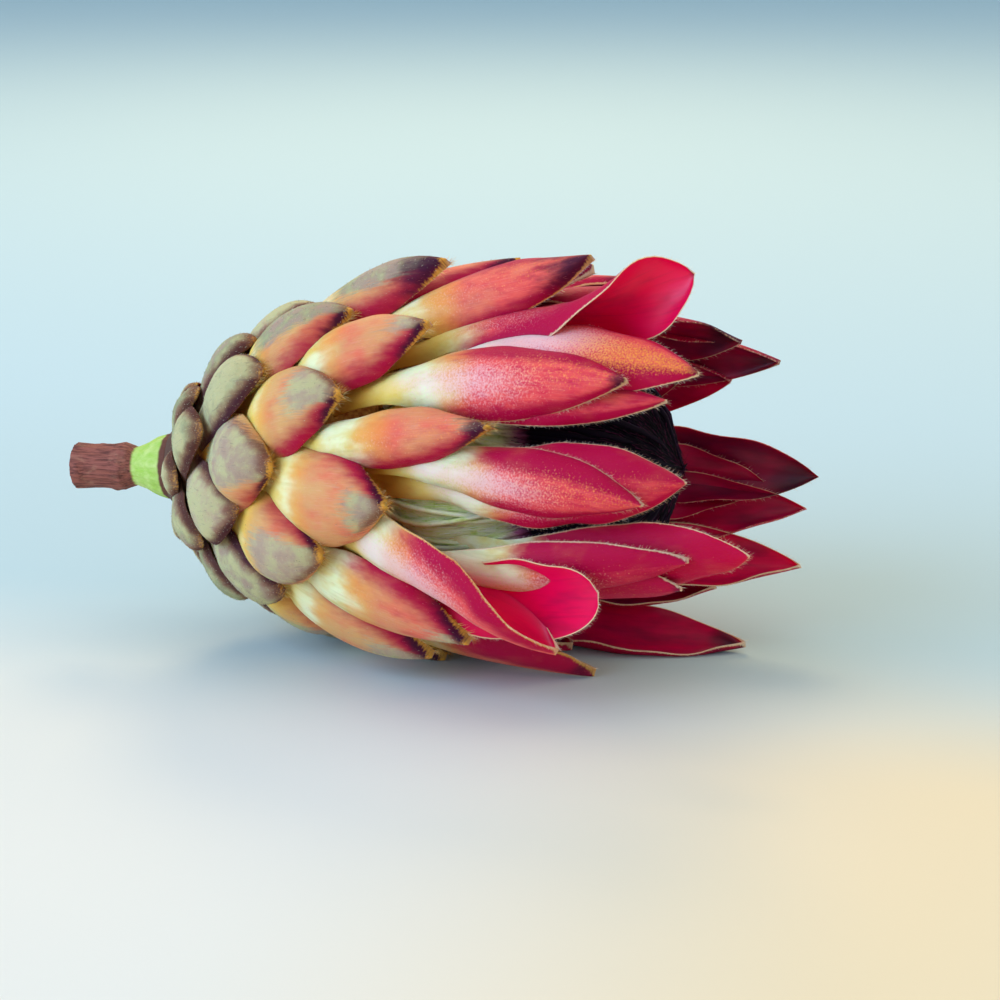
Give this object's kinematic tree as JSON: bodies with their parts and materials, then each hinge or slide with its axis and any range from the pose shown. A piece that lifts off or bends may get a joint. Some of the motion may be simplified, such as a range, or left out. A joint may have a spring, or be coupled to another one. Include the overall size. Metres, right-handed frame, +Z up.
{
  "type": "protea flower head",
  "caption": "Cut protea flower head lying on its side: short stem, overlapping felted scales, long pink and crimson bracts round a dark mass of florets.",
  "frame": {"origin": "centre of the bounding box, on the surface that the flower lies on", "axes": "+X from the cut stem to the opening of the head, +Z up, -Y the side that the picture shows"},
  "size_m": [0.1236, 0.0734, 0.0704],
  "materials": {
    "bark": "matte, fibrous reddish-brown bark with a lime-green neck under the head",
    "scales": "matte felt, olive-taupe scales turning cream to salmon with grey-green tips",
    "petals": "satin, silky pink outside and smooth crimson inside",
    "florets": "soft matte hairs, purple-black with pale green tubes below"
  },
  "bodies": {
    "root": {"stem": "bark", "outer_bracts": "scales", "inner_bracts": "petals", "florets": "florets"}
  },
  "joints": []
}
